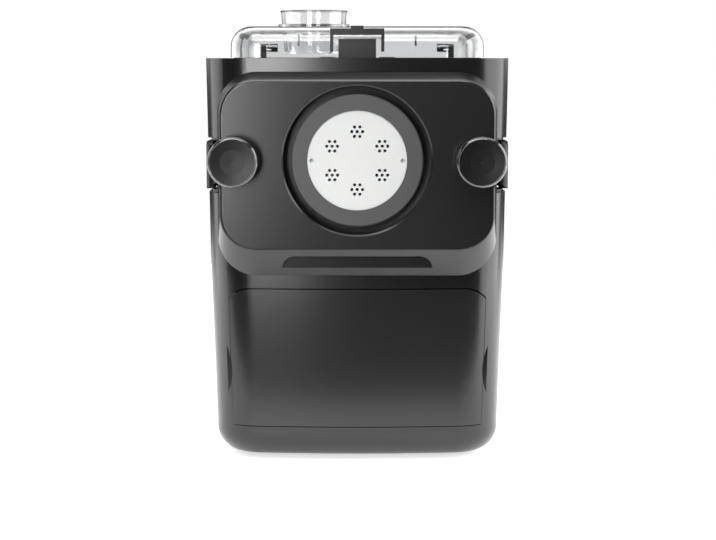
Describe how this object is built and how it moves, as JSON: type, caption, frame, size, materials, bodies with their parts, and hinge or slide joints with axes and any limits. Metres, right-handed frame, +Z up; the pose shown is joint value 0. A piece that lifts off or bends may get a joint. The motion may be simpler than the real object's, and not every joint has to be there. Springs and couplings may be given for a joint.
{
  "type": "electric pasta maker",
  "caption": "Upright electric pasta maker with clear hinged lid and cup, clamped front panel, pasta outlet and storage drawer.",
  "frame": {"origin": "on the standing surface, under the middle of the bounding box", "axes": "+Z up, front and pasta outlet towards -Y, +X to the right of someone facing the front"},
  "size_m": [0.2384, 0.4, 0.3545],
  "materials": {
    "body_plastic": "fine matt moulded charcoal",
    "panel_plastic": "satin charcoal",
    "ring_plastic": "satin dark grey",
    "disc_plastic": "white, slightly soft",
    "clear_plastic": "clear polished plastic",
    "inner_plastic": "smooth grey",
    "black_plastic": "fine matt black",
    "knob_plastic": "satin black with a polished rim",
    "key_plastic": "satin",
    "rubber": "matt black",
    "steel": "turned",
    "gear_plastic": "moulded nylon",
    "board": "coated board"
  },
  "bodies": {
    "housing": {"main_housing": "body_plastic", "top_deck": "body_plastic", "rear_cover": "body_plastic", "front_fascia": "body_plastic", "base_tray": "body_plastic", "rubber_feet": "rubber", "front_panel": "panel_plastic", "disc_retaining_ring": "ring_plastic", "shaping_disc": "disc_plastic", "extrusion_tube": "inner_plastic", "kneading_chamber": "inner_plastic", "shaft_seal": "rubber", "front_bearing": "steel", "rear_bearing": "steel", "motor": "steel", "gearbox_housing": "gear_plastic", "motor_bracket": "steel", "clamp_pocket_left": "black_plastic", "clamp_pocket_right": "black_plastic", "clamp_pin_left": "steel", "clamp_pin_right": "steel", "hinge_pins": "steel", "hinge_lugs": "black_plastic", "latch_post": "black_plastic", "drawer_bay": "black_plastic", "control_panel": "black_plastic", "display_lens": "clear_plastic", "control_board": "board", "power_inlet": "black_plastic", "power_board": "board", "lid_switch": "black_plastic", "base_screws": "steel"},
    "agitator": {"extrusion_screw": "inner_plastic", "kneading_paddle": "inner_plastic", "drive_shaft": "steel", "drive_gear": "gear_plastic"},
    "rotor": {"motor_pinion": "gear_plastic", "motor_shaft": "steel", "cooling_fan": "black_plastic"},
    "clamp_left": {"clamp_arm_left": "knob_plastic"},
    "clamp_right": {"clamp_arm_right": "knob_plastic"},
    "knob_left": {"clamp_knob_left": "knob_plastic", "clamp_screw_left": "steel"},
    "knob_right": {"clamp_knob_right": "knob_plastic", "clamp_screw_right": "steel"},
    "lid": {"lid_shell": "clear_plastic", "hinge_knuckles": "clear_plastic", "lid_clasp": "black_plastic"},
    "cup": {"measuring_cup": "clear_plastic"},
    "drawer": {"drawer_front": "panel_plastic", "storage_drawer": "black_plastic", "drawer_divider": "black_plastic", "spare_disc_left": "disc_plastic", "spare_disc_right": "disc_plastic"},
    "power_key": {"power_button": "key_plastic"},
    "program_key": {"program_button": "key_plastic"},
    "start_key": {"start_button": "key_plastic"}
  },
  "joints": [
    {"name": "lid_hinge", "type": "hinge", "parent": "housing", "child": "lid", "pos_m": [0, 0.081, 0.326], "axis": [-1, 0, 0], "range_deg": [0, 100]},
    {"name": "cup_lift", "type": "slide", "parent": "lid", "child": "cup", "axis": [0, 0, 1], "range_m": [0, 0.06]},
    {"name": "clamp_left_swing", "type": "hinge", "parent": "housing", "child": "clamp_left", "pos_m": [-0.11149, -0.096, 0.2385], "axis": [0, 0, -1], "range_deg": [0, 95]},
    {"name": "clamp_right_swing", "type": "hinge", "parent": "housing", "child": "clamp_right", "pos_m": [0.11149, -0.096, 0.2385], "axis": [0, 0, 1], "range_deg": [0, 95]},
    {"name": "knob_left_turn", "type": "hinge", "parent": "clamp_left", "child": "knob_left", "pos_m": [-0.0935, -0.192, 0.2385], "axis": [0, -1, 0], "range_deg": [0, 180]},
    {"name": "knob_right_turn", "type": "hinge", "parent": "clamp_right", "child": "knob_right", "pos_m": [0.0935, -0.192, 0.2385], "axis": [0, -1, 0], "range_deg": [0, 180]},
    {"name": "drawer_slide", "type": "slide", "parent": "housing", "child": "drawer", "axis": [0, -1, 0], "range_m": [0, 0.12]},
    {"name": "agitator_spin", "type": "hinge", "parent": "housing", "child": "agitator", "pos_m": [0, 0, 0.2385], "axis": [0, 1, 0], "continuous": true},
    {"name": "rotor_spin", "type": "hinge", "parent": "housing", "child": "rotor", "pos_m": [0, 0.176, 0.1885], "axis": [0, 1, 0], "continuous": true},
    {"name": "power_press", "type": "slide", "parent": "housing", "child": "power_key", "axis": [0, 0, -1], "range_m": [0, 0.0012], "stiffness_N_per_m": 600, "springref_m": -0.001},
    {"name": "program_press", "type": "slide", "parent": "housing", "child": "program_key", "axis": [0, 0, -1], "range_m": [0, 0.0012], "stiffness_N_per_m": 600, "springref_m": -0.001},
    {"name": "start_press", "type": "slide", "parent": "housing", "child": "start_key", "axis": [0, 0, -1], "range_m": [0, 0.0012], "stiffness_N_per_m": 600, "springref_m": -0.001}
  ],
  "couplings": [
    {"joint": "rotor_spin", "follows": "agitator_spin", "ratio": -4}
  ]
}
